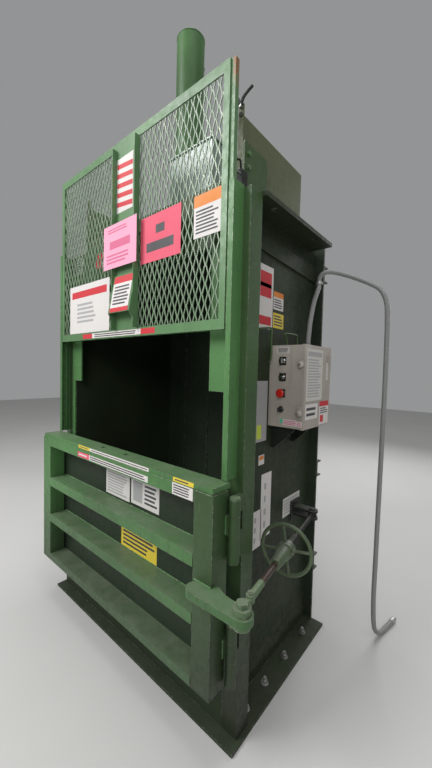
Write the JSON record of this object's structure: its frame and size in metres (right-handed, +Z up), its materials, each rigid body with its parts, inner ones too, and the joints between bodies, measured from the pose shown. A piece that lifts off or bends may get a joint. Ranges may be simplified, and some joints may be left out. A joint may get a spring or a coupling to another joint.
{
  "type": "recycling baler",
  "caption": "Vertical press for baling cardboard: chamber with shelved bale door, screw latch with handwheel, raised mesh gate, press cylinder and side control box.",
  "frame": {"origin": "on the floor, midway between the two front posts, in the plane of their front faces", "axes": "+X to the operator's right, +Y to the rear, +Z up; the front faces -Y"},
  "size_m": [1.8038, 1.3572, 3.382],
  "materials": {
    "green_paint": "satin, worn",
    "light_green_paint": "satin, worn",
    "chamber_green_paint": "dull, scratched",
    "grey_paint": "smooth satin",
    "dark_paint": "dull",
    "bare_steel": "worn, lightly rusted",
    "zinc_steel": "dull",
    "chrome_rings": "polished",
    "black_plastic": "matte",
    "red_plastic": "gloss",
    "grey_sleeving": "dull, ribbed"
  },
  "bodies": {
    "frame": {"base_frame": "green_paint", "chamber_floor": "chamber_green_paint", "post_right": "green_paint", "post_left": "green_paint", "side_wall_right": "chamber_green_paint", "side_wall_left": "chamber_green_paint", "back_wall": "chamber_green_paint", "header": "green_paint", "jamb_right": "green_paint", "jamb_left": "green_paint", "guide_right": "green_paint", "guide_left": "green_paint", "roof_plate": "green_paint", "upper_panel_right": "green_paint", "upper_panel_left": "green_paint", "gusset_right": "green_paint", "gusset_left": "green_paint", "hex_bolts": "green_paint", "press_cylinder": "green_paint", "cylinder_flange": "green_paint", "oil_tank": "grey_paint", "filler_cap": "zinc_steel", "pump_motor": "grey_paint", "valve_block": "bare_steel", "anchor_bolts": "zinc_steel", "hinge_brackets": "green_paint", "hinge_pins": "bare_steel", "screw_bracket": "dark_paint", "screw_pin": "bare_steel", "control_box": "grey_paint", "box_bracket": "dark_paint", "button_bezels": "chrome_rings", "gate_switch": "dark_paint", "conduit_clip": "zinc_steel", "conduit_gland": "zinc_steel", "conduit": "grey_sleeving", "conduit_fitting": "zinc_steel"},
    "door": {"door_pan": "green_paint", "door_top_bar": "green_paint", "door_shelf_upper": "green_paint", "door_shelf_lower": "green_paint", "door_bottom_rail": "green_paint", "door_stile": "green_paint"},
    "latch": {"latch_bar": "green_paint", "latch_lever": "green_paint", "lever_bolt": "green_paint"},
    "link": {"link_rod": "bare_steel"},
    "wheel": {"handwheel": "green_paint"},
    "screw": {"screw_eye": "bare_steel"},
    "gate": {"gate_frame": "light_green_paint", "gate_mesh": "light_green_paint", "gate_channel": "light_green_paint"},
    "ram": {"platen": "chamber_green_paint", "piston_rod": "bare_steel"},
    "cover": {"box_cover": "grey_paint"},
    "selector": {"selector_knob": "black_plastic"},
    "start": {"start_button": "black_plastic"},
    "stop": {"stop_button": "red_plastic"},
    "key": {"key_switch": "zinc_steel"},
    "plunger": {"gate_switch_plunger": "zinc_steel"}
  },
  "joints": [
    {"name": "door_hinge", "type": "hinge", "parent": "frame", "child": "door", "pos_m": [-0.729, -0.066, 0.65], "axis": [0, 0, -1], "range_deg": [0, 110]},
    {"name": "latch_swing", "type": "hinge", "parent": "frame", "child": "latch", "pos_m": [0.729, -0.066, 0.65], "axis": [0, 0, 1], "range_deg": [0, 19.47]},
    {"name": "link_yaw", "type": "hinge", "parent": "frame", "child": "link", "pos_m": [0.722, 0.64, 0.712], "axis": [0, 0, 1], "range_deg": [0, 2.63]},
    {"name": "handwheel_turn", "type": "hinge", "parent": "link", "child": "wheel", "pos_m": [0.78533, 0.23087, 0.712], "axis": [0.153, -0.9882, 0], "range_deg": [0, 1440]},
    {"name": "screw_slide", "type": "slide", "parent": "link", "child": "screw", "axis": [-0.153, 0.9882, 0], "range_m": [0, 0.0401]},
    {"name": "gate_slide", "type": "slide", "parent": "frame", "child": "gate", "axis": [0, 0, 1], "range_m": [-0.56, 0]},
    {"name": "ram_slide", "type": "slide", "parent": "frame", "child": "ram", "axis": [0, 0, 1], "range_m": [-1.05, 0]},
    {"name": "cover_hinge", "type": "hinge", "parent": "frame", "child": "cover", "pos_m": [0.788, 0.633, 1.4], "axis": [0, 0, 1], "range_deg": [0, 120]},
    {"name": "selector_turn", "type": "hinge", "parent": "frame", "child": "selector", "pos_m": [0.6835, 0.3295, 1.516], "axis": [0, 1, 0], "range_deg": [-45, 45]},
    {"name": "start_press", "type": "slide", "parent": "frame", "child": "start", "axis": [0, 1, 0], "range_m": [0, 0.005], "stiffness_N_per_m": 600},
    {"name": "stop_press", "type": "slide", "parent": "frame", "child": "stop", "axis": [0, 1, 0], "range_m": [0, 0.006], "stiffness_N_per_m": 600},
    {"name": "key_turn", "type": "hinge", "parent": "frame", "child": "key", "pos_m": [0.6835, 0.3295, 1.294], "axis": [0, 1, 0], "range_deg": [0, 90]},
    {"name": "gate_switch_press", "type": "slide", "parent": "frame", "child": "plunger", "axis": [0, 1, 0], "range_m": [0, 0.005], "stiffness_N_per_m": 300}
  ],
  "couplings": [
    {"joint": "latch_swing", "follows": "handwheel_turn", "ratio": 0.013517},
    {"joint": "link_yaw", "follows": "handwheel_turn", "ratio": 0.0018209},
    {"joint": "screw_slide", "follows": "handwheel_turn", "m_per_rad": 0.0015915}
  ]
}
